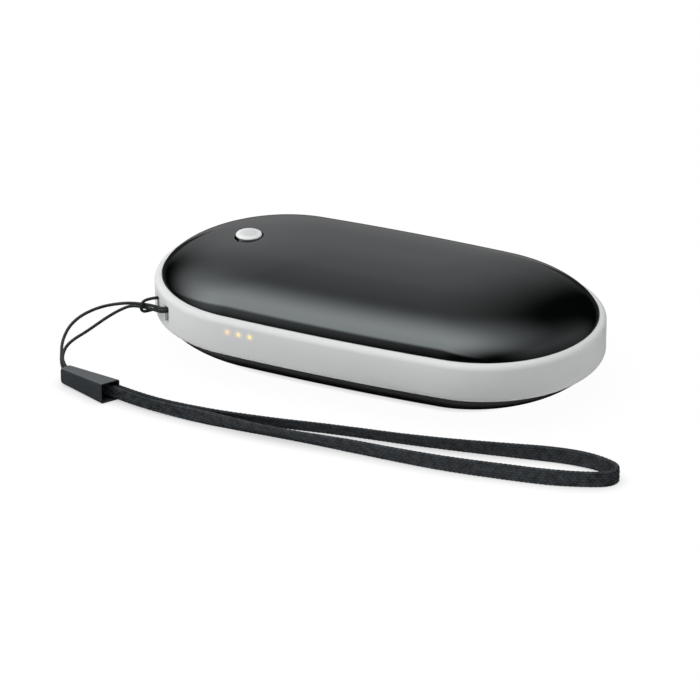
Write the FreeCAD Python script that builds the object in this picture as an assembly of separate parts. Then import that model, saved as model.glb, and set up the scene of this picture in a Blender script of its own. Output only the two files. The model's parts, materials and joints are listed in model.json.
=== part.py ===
import FreeCAD, Part
import math
import os

# Rechargeable hand warmer: two domed covers on a middle band, with a wrist lanyard.
# Millimetres, +Z up, floor at z = 0, lanyard end at -X, charge lights on the -Y side.

os.makedirs("parts", exist_ok=True)
V = FreeCAD.Vector

# Body
body_length = 100.0
body_width = 53.4
body_height = 23.4
band_height = 8.6
side_bulge = 0.68            # half width less the end radius, bows the long sides
crown_share = 0.43           # how far the crown keeps the length of the body
crown_flat = 0.25            # flat share of each dome, the rest face below
dome_power = 2.8
dome_rise = 0.7
dome_rings = (1.0, 0.985, 0.95, 0.88, 0.76, 0.6, 0.42, 0.22, 0.0)

# Covers and band
cover_wall = 1.2
skirt_depth = 1.8
gasket = 0.2
band_edge_radius = 1.3
band_land = 0.2
seat_gap = 0.1
band_wall = 3.4
cut_past = 2.0               # cutters past the outer skin

# Power button and switch
button_from_end = 19.6
button_dia = 5.5
button_gap = 0.3             # between moving and fixed round faces
button_proud = 0.25          # cap above the cover, following its slope
button_edge = 0.25
button_flange = 7.6
button_flange_thick = 0.8
button_drop = 2.7            # flange top below the crown
stem_dia = 3.0
switch_size = 6.0
switch_height = 3.5
switch_corner = 0.5
plunger_dia = 3.4
plunger_proud = 1.1
plunger_depth = 0.6
plunger_room = 0.7
press_gap = 0.1

# Charge lights
light_from_end = 29.6
light_pitch = 2.65
light_count = 3
light_dia = 1.1
light_above_mid = 1.6
guide_thick = 0.7
guide_back_gap = 0.6
guide_end = 1.0              # guide past the outer pins
lamp_size = 1.8
lamp_height = 1.0

# Lanyard bar in the band
bar_angle = 226.0
bar_half = 1.9
bar_thick = 1.6
slot_width = 1.7
slot_height = 3.6
tunnel_deep = 2.0
bar_boss_half = 5.4
bar_boss_wall = 1.0

# Main board
board_thick = 1.0
board_inset = 5.6
board_from_end = 34.5
post_dia = 4.4
post_from_left = 6.4
post_from_right = 3.0
post_side = 11.0
post_edge = 7.0              # inner posts from the board side
board_notch = 0.1            # board clear of the socket

# Board components
parts_from_right = 6.0
coil_size = 5.5
coil_height = 3.0
coil_corner = 1.2
coil_gap = 0.25              # coil beside the battery plug
charger_size = 4.0
charger_height = 0.9
charger_gap = 2.0            # charge chip behind the socket
charger_in = 0.5             # charge chip left of the coil's right side
switch_clear = 2.5           # control chip and capacitors beside the switch
control_in = 1.0             # control chip left of the button axis
control_length = 5.0
control_width = 4.0
control_height = 1.2
cap_count = 3
cap_pitch = 2.6
cap_width = 1.6
cap_length = 3.0
cap_height = 1.4
gauge_length = 5.0
gauge_width = 6.0
gauge_height = 1.1

# Charge socket
socket_from_end = 28.0
socket_width = 8.94
socket_height = 3.2
socket_depth = 7.3
socket_wall = 0.3
socket_recess = 0.6
socket_fit = 0.15
tongue_width = 6.7
tongue_thick = 0.7
tongue_length = 5.0
socket_back = 1.0            # closed back wall
socket_flat = 0.03           # straight left between the round corners, each half
socket_tab_in = 0.8
socket_tab_out = 1.4
socket_tab_length = 1.6
socket_tab_thick = 0.3
socket_tab_back = 0.4

# Battery and tray
cell_end_room = 14.5         # cell from the far end of the body
cell_side_room = 9.7
cell_room = 7.35             # cell from the crown of each cover
cell_edge = 2.5
cell_edge_flat = 0.5         # least straight left beside a rounded edge
pocket_corner = 0.8
basin_corner = 2.0
cell_fit = 0.4
tape = 0.3
tape_end = 2.0
tape_side = 1.0
tray_wall = 1.0
tray_floor = 1.0
tray_rim = 1.8               # basin walls above the flange
flange = 1.2
flange_inset = 3.6
guard_room = 3.5             # pocket beyond the cell for the protection board
tray_gap = 0.5               # tray from the main board
guard_thick = 1.0
guard_width = 26.0
guard_height = 7.6
guard_gap = 1.3
tab_width = 4.0
tab_thick = 0.2
lead_dia = 1.2
lead_pitch = 2.2
lead_lift = 0.2
plug_length = 4.5
plug_width = 6.5
plug_height = 3.6
plug_y = -5.0
plug_from_edge = 1.0
plug_slot = 0.8
plug_side_wall = 0.8
plug_end_wall = 1.2
boss_dia = 4.6
boss_in = 2.0                # boss centre inside the band wall
boss_from_left = 6.0
boss_from_arc = 2.5          # right bosses before the end arc

# Screws
screw_dia = 2.0
screw_head = 3.2
screw_head_thick = 1.2
screw_hole = 2.4
drive_width = 0.6
drive_depth = 0.5
tray_screw_long = 4.4
board_screw_long = 3.2

# Heaters
film_end_room = 25.0         # film from the far end of the body
film_side_room = 13.7
film_over_board = 5.5
film_thick = 0.3
film_corner = 4.0
pad_depth = 1.3
foam_margin = 1.0
tail_width = 5.0
tail_thick = 0.25
tail_gap = 1.5               # top tail from the charge chip
tail_low_y = 0.0
tail_reach_top = 2.0
tail_reach_low = 4.0
tail_foot = 2.6
tail_slot = 3.0
tail_slot_side = 1.0
sensor_length = 2.0
sensor_width = 1.5
sensor_height = 0.8
sensor_y = -5.25

# Lanyard
cord_dia = 0.7
strap_width = 3.4
strap_thick = 0.9
sleeve_length = 11.6
sleeve_width = 4.6
sleeve_height = 4.2
sleeve_angle = -13.5
sleeve_mouth = (6.7, -13.9)  # from the lanyard corner of the body
sleeve_wall = 0.35
sleeve_side = 0.6
sleeve_end = 2.0
sleeve_nose = 1.5
sleeve_edge = 0.5
hole_wide = 2.6
hole_high = 1.5
crimp_length = 2.6
crimp_side = 0.2
crimp_corner = 0.4
cord_side = 0.6              # each cord from the sleeve axis
cord_height = 2.75
ply_side = 0.75              # each strap layer from the sleeve axis
bend_share = 0.45            # part of a run that a bend takes at each end

# Edge tests
near = 0.01
lined = 0.9

# Derived heights and lines
half_length = body_length / 2
half_width = body_width / 2
end_radius = half_width - side_bulge
end_x = half_length - end_radius
mid_z = body_height / 2
seam_low = mid_z - band_height / 2
seam_top = mid_z + band_height / 2
dome_height = body_height - seam_top
seat_inset = band_edge_radius + band_land
cover_inset = seat_inset + seat_gap
cavity_inset = cover_inset + cover_wall
cavity_height = dome_height - cover_wall
ledge_top = seam_top - skirt_depth - gasket
ledge_low = seam_low + skirt_depth + gasket
board_low = mid_z
board_top = board_low + board_thick
light_z = mid_z + light_above_mid
board_left = board_inset - half_length
board_right = board_from_end - half_length
button_x = button_from_end - half_length
light_x = light_from_end - half_length
socket_x = socket_from_end - half_length
cell_thick = body_height - 2 * cell_room
cell_width = body_width - 2 * cell_side_room
cell_left = board_right + tray_gap + tray_wall + guard_room
cell_right = half_length - cell_end_room
cell_low = mid_z - cell_thick / 2
cell_top = mid_z + cell_thick / 2
basin_top = cell_low - tape
basin_low = basin_top - tray_floor
flange_low = ledge_low - flange
pad_low_top = cover_wall + pad_depth
pad_high_low = body_height - cover_wall - pad_depth
pocket_left = cell_left - guard_room
pocket_right = cell_right + cell_fit
boss_y = half_width - band_wall - boss_in
boss_places = (cell_left + boss_from_left, end_x - boss_from_arc)
film_left = board_right - film_over_board
film_right = half_length - film_end_room
film_half = half_width - film_side_room
switch_top = board_top + switch_height
plunger_top = switch_top + plunger_proud
button_low = plunger_top + press_gap


# Small helpers

def save(shape, name):
    shape.exportStep("parts/" + name + ".step")


def fuse(shapes):
    whole = shapes[0]
    for other in shapes[1:]:
        whole = whole.fuse(other)
    return whole.removeSplitter()


def block(x0, x1, y0, y1, z0, z1):
    return Part.makeBox(x1 - x0, y1 - y0, z1 - z0, V(x0, y0, z0))


def rod(dia, x, y, z0, z1):
    return Part.makeCylinder(dia / 2, z1 - z0, V(x, y, z0))


def round_block(x0, x1, y0, y1, z0, z1, corner):
    solid = block(x0, x1, y0, y1, z0, z1)
    upright = [e for e in solid.Edges if abs(e.tangentAt(e.FirstParameter).z) > lined]
    return solid.makeFillet(corner, upright)


# Bowed oval: two end arcs and two long side arcs, all tangent
def oval(a, b, e, z):
    c = a - e
    s = (c * c + b * b - e * e) / (2 * (b - e))
    reach = s - e
    jx = c + e * c / reach
    jy = e * (s - b) / reach
    right = Part.Arc(V(jx, -jy, z), V(a, 0, z), V(jx, jy, z)).toShape()
    back = Part.Arc(V(jx, jy, z), V(0, b, z), V(-jx, jy, z)).toShape()
    left = Part.Arc(V(-jx, jy, z), V(-a, 0, z), V(-jx, -jy, z)).toShape()
    front = Part.Arc(V(-jx, -jy, z), V(0, -b, z), V(jx, -jy, z)).toShape()
    return Part.Wire([right, back, left, front])


def body_oval(inset, z):
    return oval(half_length - inset, half_width - inset, end_radius - inset, z)


def prism(inset, z0, z1):
    return Part.Face(body_oval(inset, z0)).extrude(V(0, 0, z1 - z0))


def ring(inset_out, inset_in, z0, z1):
    return prism(inset_out, z0, z1).cut(prism(inset_in, z0, z1))


# Dome over the top seam, lofted through ovals that shrink towards a flat crown
def dome(inset, height):
    wires = []
    for share in dome_rings:
        r = crown_flat + (1 - crown_flat) * share
        e = (end_radius - inset) * r
        b = (half_width - inset) * r
        a = end_x * (r + crown_share * (1 - r)) + e
        z = seam_top + height * (1 - share ** dome_power) ** dome_rise
        wires.append(oval(a, b, e, z))
    return Part.makeLoft(wires, True, False)


def upside(shape):
    return shape.mirror(V(0, 0, mid_z), V(0, 0, 1))


# Covers
def cover_blank():
    skirt = prism(cover_inset, seam_top - skirt_depth, seam_top)
    outside = fuse([dome(cover_inset, dome_height), skirt])
    room = prism(cavity_inset, seam_top - skirt_depth, seam_top)
    return outside.cut(dome(cavity_inset, cavity_height)).cut(room)


def top_cover():
    hole = rod(button_dia + 2 * button_gap, button_x, 0, seam_top, body_height + cut_past)
    return cover_blank().cut(hole)


def bottom_cover():
    return upside(cover_blank())


# Frame at the lanyard bar: outward from the band, along the band, up
def bar_point(out, along, up):
    t = math.radians(bar_angle)
    x = -end_x + (end_radius + out) * math.cos(t) - along * math.sin(t)
    y = (end_radius + out) * math.sin(t) + along * math.cos(t)
    return V(x, y, mid_z + up)


def bar_block(out0, out1, along0, along1, z0, z1):
    solid = block(end_radius + out0, end_radius + out1, along0, along1, z0, z1)
    solid.rotate(V(0, 0, 0), V(0, 0, 1), bar_angle)
    solid.translate(V(-end_x, 0, 0))
    return solid


# Middle band with seats for the covers, screw bosses, lanyard bar, light holes and charge window
def band_hoop():
    hoop = prism(0, seam_low, seam_top)
    rims = [e for e in hoop.Edges if e.BoundBox.ZLength < near]
    hoop = hoop.makeFillet(band_edge_radius, rims)
    hoop = hoop.cut(prism(seat_inset, ledge_top, seam_top))
    hoop = hoop.cut(prism(seat_inset, seam_low, ledge_low))
    return hoop.cut(prism(band_wall, seam_low, seam_top))


def band_bosses():
    inside = prism(seat_inset, ledge_low, ledge_top)
    deep = -bar_thick - tunnel_deep - bar_boss_wall
    solids = [bar_block(deep, -bar_thick, -bar_boss_half, bar_boss_half, ledge_low, ledge_top)]
    for x in boss_places:
        for side in (-1, 1):
            solids.append(rod(boss_dia, x, side * boss_y, ledge_low, ledge_top))
    return [s.common(inside) for s in solids]


def band_cuts():
    low = mid_z - slot_height / 2
    high = mid_z + slot_height / 2
    far = bar_half + slot_width
    deep = -bar_thick - tunnel_deep
    cuts = [bar_block(deep, -bar_thick, -far, far, low, high)]
    cuts.append(bar_block(deep, cut_past, bar_half, far, low, high))
    cuts.append(bar_block(deep, cut_past, -far, -bar_half, low, high))
    screw_top = ledge_low + tray_screw_long - flange
    for x in boss_places:
        for side in (-1, 1):
            cuts.append(rod(screw_dia, x, side * boss_y, ledge_low, screw_top))
    for x in light_places():
        hole = Part.makeCylinder(light_dia / 2, half_width, V(x, 0, light_z), V(0, -1, 0))
        cuts.append(hole)
    back = socket_front() - socket_depth
    cuts.append(stadium(socket_fit, back, half_width + cut_past))
    cuts.append(stadium(socket_recess, socket_front(), half_width + cut_past))
    return cuts


def middle_band():
    band = fuse([band_hoop()] + band_bosses())
    for tool in band_cuts():
        band = band.cut(tool)
    return band


def top_gasket():
    return ring(cover_inset, cavity_inset, ledge_top, ledge_top + gasket)


# Charge socket, a rounded tube that opens through the back of the band
def socket_front():
    side_x = abs(socket_x) + socket_width / 2
    c = end_x
    s = (c * c + half_width ** 2 - end_radius ** 2) / (2 * side_bulge)
    edge = half_width - s + math.sqrt(s * s - side_x * side_x)
    return edge - socket_recess


def stadium(grow, y0, y1):
    w = socket_width / 2 + grow
    h = socket_height / 2 + grow
    solid = block(socket_x - w, socket_x + w, y0, y1, mid_z - h, mid_z + h)
    along = [e for e in solid.Edges if abs(e.tangentAt(e.FirstParameter).y) > lined]
    return solid.makeFillet(h - socket_flat, along)


def socket_shell():
    front = socket_front()
    back = front - socket_depth
    shell = stadium(0, back, front).cut(stadium(-socket_wall, back + socket_back, front))
    y0 = back + socket_tab_back
    y1 = y0 + socket_tab_length
    z1 = board_top + socket_tab_thick
    near_side = socket_width / 2 - socket_tab_in
    far_side = socket_width / 2 + socket_tab_out
    left = block(socket_x - far_side, socket_x - near_side, y0, y1, board_top, z1)
    right = block(socket_x + near_side, socket_x + far_side, y0, y1, board_top, z1)
    return fuse([shell, left, right])


def socket_tongue():
    back = socket_front() - socket_depth + socket_back
    w = tongue_width / 2
    h = tongue_thick / 2
    tongue = block(socket_x - w, socket_x + w, back, back + tongue_length, mid_z - h, mid_z + h)
    nose = [e for e in tongue.Edges if abs(e.CenterOfMass.y - back - tongue_length) < near]
    return tongue.makeChamfer(h / 2, nose)


# Power button with a domed cap, a retaining flange and a stem to the switch
def button():
    high = body_height - button_drop
    skin = dome(cover_inset, dome_height)
    skin.translate(V(0, 0, button_proud))
    cap = rod(button_dia, button_x, 0, high, body_height + cut_past).common(skin)
    rim = [e for e in cap.Edges if e.BoundBox.ZMin > high + near and e.BoundBox.XLength > button_edge]
    cap = cap.makeFillet(button_edge, rim)
    plate = rod(button_flange, button_x, 0, high - button_flange_thick, high)
    stem = rod(stem_dia, button_x, 0, button_low, high)
    return fuse([cap, plate, stem])


def switch_body():
    h = switch_size / 2
    body = round_block(button_x - h, button_x + h, -h, h, board_top, switch_top, switch_corner)
    floor = switch_top - plunger_depth - plunger_room
    well = rod(plunger_dia + 2 * button_gap, button_x, 0, floor, switch_top)
    return body.cut(well)


def switch_plunger():
    return rod(plunger_dia, button_x, 0, switch_top - plunger_depth, plunger_top)


# Charge lights
def light_places():
    first = light_x - light_pitch * (light_count - 1) / 2
    return [first + light_pitch * i for i in range(light_count)]


def guide_back():
    return board_inset - half_width - guide_back_gap


def light_guide():
    y1 = guide_back()
    xs = light_places()
    h = light_dia / 2
    guide = block(xs[0] - guide_end, xs[-1] + guide_end, y1 - guide_thick, y1, light_z - h, light_z + h)
    pins = []
    for x in xs:
        pin = Part.makeCylinder(h, half_width, V(x, y1 - guide_thick / 2, light_z), V(0, -1, 0))
        pins.append(pin.common(prism(0, seam_low, seam_top)))
    return fuse([guide] + pins)


def lights():
    y0 = guide_back()
    y1 = y0 + lamp_size
    z1 = board_top + lamp_height
    half = lamp_size / 2
    return Part.makeCompound([block(x - half, x + half, y0, y1, board_top, z1) for x in light_places()])


# Board posts: two towards the end, two towards the battery
def post_places():
    x0 = board_left + post_from_left
    x1 = board_right - post_from_right
    y1 = half_width - board_inset - post_edge
    return [(x0, post_side), (x0, -post_side), (x1, y1), (x1, -y1)]


# Main board, cut to the end of the band, with a notch for the socket
def main_board():
    board = prism(board_inset, board_low, board_top)
    board = board.common(block(-half_length, board_right, -half_width, half_width, board_low, board_top))
    w = socket_width / 2 + board_notch
    back = socket_front() - socket_depth
    board = board.cut(block(socket_x - w, socket_x + w, back, half_width, board_low, board_top))
    for x, y in post_places():
        board = board.cut(rod(screw_hole, x, y, board_low, board_top))
    return board


# Components: inductor, charge chip, control chip, capacitors, and a gauge chip below
def charger_low():
    return socket_front() - socket_depth - charger_gap - charger_size


def board_components():
    z = board_top
    right = board_right - parts_from_right
    left = button_x - control_in - control_length
    beside_switch = switch_size / 2 + switch_clear
    y1 = plug_y - plug_width / 2 - coil_gap
    coil = round_block(right - coil_size, right, y1 - coil_size, y1, z, z + coil_height, coil_corner)
    x1 = right - charger_in
    y0 = charger_low()
    charger = block(x1 - charger_size, x1, y0, y0 + charger_size, z, z + charger_height)
    control = block(left, left + control_length, -beside_switch - control_width, -beside_switch,
                    z, z + control_height)
    caps = []
    for i in range(cap_count):
        x0 = left + cap_pitch * i
        caps.append(block(x0, x0 + cap_width, beside_switch, beside_switch + cap_length, z, z + cap_height))
    x0 = button_x - gauge_length / 2
    w = gauge_width / 2
    gauge = block(x0, x0 + gauge_length, -w, w, board_low - gauge_height, board_low)
    return Part.makeCompound([coil, charger, control, gauge] + caps)


def battery_plug():
    x0 = board_right - plug_from_edge - plug_length
    w = plug_width / 2
    top = board_top + plug_height
    plug = block(x0, x0 + plug_length, plug_y - w, plug_y + w, board_top, top)
    w = w - plug_side_wall
    slot = block(x0, x0 + plug_length - plug_end_wall, plug_y - w, plug_y + w, top - plug_slot, top)
    return plug.cut(slot)


# Screws: a slotted pan head on a straight shank, its head above or below its seat
def screw(x, y, seat, long, up):
    top = seat + screw_head_thick
    half = drive_width / 2
    head = rod(screw_head, x, y, seat, top)
    slot = block(x - screw_head, x + screw_head, y - half, y + half, top - drive_depth, top)
    solid = fuse([head.cut(slot), rod(screw_dia, x, y, seat - long, seat)])
    return solid if up else solid.mirror(V(x, y, seat), V(0, 0, 1))


def tray_screws():
    spots = [(x, side * boss_y) for x in boss_places for side in (-1, 1)]
    return Part.makeCompound([screw(x, y, flange_low, tray_screw_long, False) for x, y in spots])


def board_screws():
    return Part.makeCompound([screw(x, y, board_top, board_screw_long, True) for x, y in post_places()])


# Battery tray: a flange under the band bosses with a basin for the cell
def battery_tray():
    out = cell_width / 2 + cell_fit + tray_wall
    left = pocket_left - tray_wall
    right = pocket_right + tray_wall
    basin = round_block(left, right, -out, out, basin_low, ledge_low + tray_rim, basin_corner)
    posts = [rod(post_dia, x, y, flange_low, board_low) for x, y in post_places()]
    tray = fuse([prism(flange_inset, flange_low, ledge_low), basin] + posts)
    y = cell_width / 2 + cell_fit
    tray = tray.cut(round_block(pocket_left, pocket_right, -y, y, basin_top, mid_z, pocket_corner))
    for px, py in post_places():
        tray = tray.cut(rod(screw_dia, px, py, board_top - board_screw_long, board_low))
    for bx in boss_places:
        for side in (-1, 1):
            tray = tray.cut(rod(screw_hole, bx, side * boss_y, flange_low, ledge_low))
    x = tail_low_x()
    half = tail_width / 2 + tail_slot_side
    window = block(x - tail_slot / 2, x + tail_slot / 2, tail_low_y - half, tail_low_y + half,
                   flange_low, ledge_low)
    return tray.cut(window)


def battery_cell():
    w = cell_width / 2
    cell = block(cell_left, cell_right, -w, w, cell_low, cell_top)
    edge = min(cell_edge, cell_thick / 2 - cell_edge_flat)
    return cell.makeFillet(edge, long_edges(cell, cell_edge))


def tray_tape():
    w = cell_width / 2 - cell_edge - tape_side
    return block(cell_left + tape_end, cell_right - tape_end, -w, w, basin_top, cell_low)


def protection_board():
    x1 = cell_left - guard_gap
    w = guard_width / 2
    return block(x1 - guard_thick, x1, -w, w, basin_top, basin_top + guard_height)


def cell_tabs():
    x0 = cell_left - guard_gap
    h = tab_thick / 2
    tabs = []
    for side in (-1, 1):
        y = side * cell_width / 4
        tabs.append(block(x0, cell_left, y - tab_width / 2, y + tab_width / 2, mid_z - h, mid_z + h))
    return Part.makeCompound(tabs)


def battery_leads():
    x0 = board_right - plug_from_edge
    x1 = cell_left - guard_gap - guard_thick
    z = board_top + lead_dia / 2 + lead_lift
    leads = []
    for i in (-1, 1):
        y = plug_y + i * lead_pitch / 2
        leads.append(Part.makeCylinder(lead_dia / 2, x1 - x0, V(x0, y, z), V(1, 0, 0)))
    return Part.makeCompound(leads)


# Heater films with bent tails down or up to the board
def tail_low_x():
    return film_left - tail_reach_low


def film_sheet(z0):
    return film_area(z0, z0 + film_thick)


def tail(x, y, z_film, z_board, foot_z):
    w = tail_width / 2
    flat = block(x, film_left + film_corner, y - w, y + w, z_film, z_film + tail_thick)
    rise = block(x, x + tail_thick, y - w, y + w, min(z_film, z_board), max(z_film, z_board))
    foot = block(x, x + tail_foot, y - w, y + w, foot_z, foot_z + tail_thick)
    return [flat, rise, foot]


def top_film():
    z0 = pad_high_low - film_thick
    x = film_left - tail_reach_top
    y = charger_low() - tail_gap - tail_width / 2
    return fuse([film_sheet(z0)] + tail(x, y, z0, board_top, board_top))


def bottom_film():
    z0 = pad_low_top
    foot_z = board_low - tail_thick
    return fuse([film_sheet(z0)] + tail(tail_low_x(), tail_low_y, z0, board_low, foot_z))


def film_area(z0, z1):
    return round_block(film_left, film_right, -film_half, film_half, z0, z1, film_corner)


def top_pad():
    return dome(cavity_inset, cavity_height).common(film_area(pad_high_low, body_height))


def bottom_pad():
    return upside(top_pad())


def foam(z0, z1):
    w = film_half - foam_margin
    left = cell_left + foam_margin
    right = film_right - foam_margin
    return round_block(left, right, -w, w, z0, z1, film_corner - foam_margin)


def thermistor():
    x = film_left + film_corner
    z1 = pad_high_low - film_thick
    w = sensor_width / 2
    return block(x, x + sensor_length, sensor_y - w, sensor_y + w, z1 - sensor_height, z1)


# Place beside the lanyard corner of the body
def beside(dx, dy, z):
    return V(dx - half_length, dy - half_width, z)


# Lanyard sleeve frame: from its nose, across, up
def sleeve_point(along, across, z):
    t = math.radians(sleeve_angle)
    dx = sleeve_mouth[0] + (along - sleeve_length) * math.cos(t) - across * math.sin(t)
    dy = sleeve_mouth[1] + (along - sleeve_length) * math.sin(t) + across * math.cos(t)
    return beside(dx, dy, z)


def in_sleeve(solid):
    solid.translate(V(-sleeve_length, 0, 0))
    solid.rotate(V(0, 0, 0), V(0, 0, 1), sleeve_angle)
    solid.translate(beside(sleeve_mouth[0], sleeve_mouth[1], 0))
    return solid


def strap_sleeve():
    w = sleeve_width / 2
    tube = block(0, sleeve_length, -w, w, 0, sleeve_height)
    nose = [e for e in tube.Edges if e.BoundBox.XMax < near and e.BoundBox.ZLength < near]
    tube = tube.makeFillet(sleeve_nose, nose)
    tube = tube.makeFillet(sleeve_edge, long_edges(tube, sleeve_end))
    room = block(sleeve_end, sleeve_length, sleeve_side - w, w - sleeve_side,
                 sleeve_wall, sleeve_height - sleeve_wall)
    room = room.makeFillet(sleeve_edge, long_edges(room, sleeve_end))
    hole = block(-cut_past, sleeve_end, -hole_wide / 2, hole_wide / 2,
                 cord_height - hole_high / 2, cord_height + hole_high / 2)
    return in_sleeve(tube.cut(room).cut(hole))


def long_edges(solid, shortest):
    along = [e for e in solid.Edges if abs(e.tangentAt(e.FirstParameter).x) > lined]
    return [e for e in along if e.Length > shortest]


def cord_crimp():
    w = cord_side + cord_dia / 2 + crimp_side
    crimp = round_block(0, crimp_length, -w, w, sleeve_wall, sleeve_height - sleeve_wall, crimp_corner)
    crimp.translate(V(sleeve_end, 0, 0))
    return in_sleeve(crimp)


# Soft routes: straight runs joined by tangent arcs
def corner(before, point, after):
    run_in = before - point
    run_out = after - point
    half_turn = (math.pi - run_in.getAngle(run_out)) / 2
    set_back = bend_share * min(run_in.Length, run_out.Length)
    radius = set_back / math.tan(half_turn)
    start = point + run_in.normalize() * set_back
    stop = point + run_out.normalize() * set_back
    inward = ((start + stop) * 0.5 - point).normalize()
    middle = point + inward * (radius / math.cos(half_turn) - radius)
    return start, middle, stop, radius


def route(points, name):
    edges = []
    radii = []
    at = points[0]
    for i in range(1, len(points) - 1):
        start, middle, stop, radius = corner(points[i - 1], points[i], points[i + 1])
        edges.append(Part.makeLine(at, start))
        edges.append(Part.Arc(start, middle, stop).toShape())
        radii.append(round(radius, 2))
        at = stop
    edges.append(Part.makeLine(at, points[-1]))
    wire = Part.Wire(edges)
    print(name, "length", round(wire.Length, 1), "radii", radii)
    return wire


# Thin cord: up one strand, hitched round the bar, down the other strand
def cord_points():
    up_strand = [sleeve_point(sleeve_end, -cord_side, cord_height),
                 sleeve_point(-0.9, -cord_side, cord_height),
                 beside(-7.9, -9.1, 3.7), beside(-9.4, -5.7, 5.1), beside(-10.5, -1.7, 6.9),
                 beside(-9.8, 2.3, 8.6), beside(-6.6, 5.5, 10.2), beside(-2.9, 7.0, 11.3)]
    hitch_in = [bar_point(5.0, -5.6, 0.2), bar_point(2.4, -2.8, 0.45), bar_point(1.3, 0.6, 0.5),
                bar_point(0.9, 2.75, 0.5), bar_point(-2.6, 2.75, 0.6), bar_point(-2.6, -2.75, 0.6)]
    bight = [bar_point(1.3, -2.85, 1.35), bar_point(3.9, -2.8, 1.55),
             bar_point(3.9, -2.65, -1.55), bar_point(1.3, -2.85, -1.35)]
    hitch_out = [bar_point(-2.6, -2.75, -0.6), bar_point(-2.6, 2.75, -0.6), bar_point(0.9, 2.75, -0.5),
                 bar_point(1.3, 0.6, -0.5), bar_point(2.4, -2.8, -0.5), bar_point(5.0, -5.4, -1.0)]
    down_strand = [beside(-1.9, 4.1, 10.3), beside(-3.8, 0.1, 9.4), beside(-6.0, -3.3, 7.9),
                   beside(-7.1, -6.2, 6.2), beside(-6.6, -8.6, 4.7),
                   sleeve_point(-0.7, cord_side, cord_height),
                   sleeve_point(sleeve_end, cord_side, cord_height)]
    return up_strand + hitch_in + bight + hitch_out + down_strand


def lanyard_cord():
    points = cord_points()
    path = route(points, "lanyard_cord")
    section = Part.Wire([Part.makeCircle(cord_dia / 2, points[0], points[1] - points[0])])
    cord = path.makePipeShell([section], True, False)
    print("cord volume share", round(cord.Volume / (math.pi * cord_dia ** 2 / 4 * path.Length), 3))
    return cord


# Flat strap on edge: out along the near side, round the end, back along the far side
def strap_points():
    z = (sleeve_height - strap_width) / 2
    start = sleeve_end + crimp_length
    out = [sleeve_point(start, -ply_side, z), sleeve_point(sleeve_length, -ply_side, z),
           beside(13.5, -15.25, z), beside(24.0, -15.5, z), beside(38.0, -15.4, z),
           beside(58.0, -14.5, z), beside(78.0, -13.9, z), beside(96.0, -12.1, z),
           beside(107.0, -10.0, z), beside(113.0, -8.0, z), beside(116.6, -6.3, z)]
    home = [beside(116.6, -3.5, z), beside(113.0, -2.0, z), beside(107.0, -0.8, z),
            beside(96.0, -2.9, z), beside(80.0, -6.5, z), beside(62.0, -9.6, z),
            beside(44.0, -12.5, z), beside(28.0, -13.9, z), beside(16.0, -13.6, z),
            sleeve_point(sleeve_length, ply_side, z), sleeve_point(start, ply_side, z)]
    return out + home


def wrist_strap():
    points = strap_points()
    path = route(points, "wrist_strap")
    run = points[1] - points[0]
    side = V(-run.y, run.x, 0).normalize() * (strap_thick / 2)
    rise = V(0, 0, strap_width)
    low = points[0]
    section = Part.makePolygon([low - side, low + side, low + side + rise, low - side + rise, low - side])
    strap = path.makePipeShell([section], True, False)
    print("strap volume share", round(strap.Volume / (strap_width * strap_thick * path.Length), 3))
    return strap


save(top_cover(), "top_cover")
save(bottom_cover(), "bottom_cover")
save(middle_band(), "middle_band")
save(top_gasket(), "top_gasket")
save(upside(top_gasket()), "bottom_gasket")
save(socket_shell(), "charge_socket_shell")
save(socket_tongue(), "charge_socket_tongue")
save(button(), "power_button")
save(switch_body(), "switch_body")
save(switch_plunger(), "switch_plunger")
save(light_guide(), "light_guide")
save(lights(), "charge_lights")
save(main_board(), "main_board")
save(board_components(), "board_components")
save(battery_plug(), "battery_plug")
save(tray_screws(), "tray_screws")
save(board_screws(), "board_screws")
save(battery_tray(), "battery_tray")
save(battery_cell(), "battery_cell")
save(tray_tape(), "tray_tape")
save(protection_board(), "protection_board")
save(cell_tabs(), "cell_tabs")
save(battery_leads(), "battery_leads")
save(top_film(), "top_heater_film")
save(bottom_film(), "bottom_heater_film")
save(top_pad(), "top_thermal_pad")
save(bottom_pad(), "bottom_thermal_pad")
save(foam(cell_top, pad_high_low - film_thick), "top_foam")
save(foam(pad_low_top + film_thick, basin_low), "bottom_foam")
save(thermistor(), "thermistor")
save(strap_sleeve(), "strap_sleeve")
save(cord_crimp(), "cord_crimp")
save(lanyard_cord(), "lanyard_cord")
save(wrist_strap(), "wrist_strap")
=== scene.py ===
import json
import math

import bmesh
import bpy
import numpy as np
from mathutils import Euler, Matrix

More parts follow.
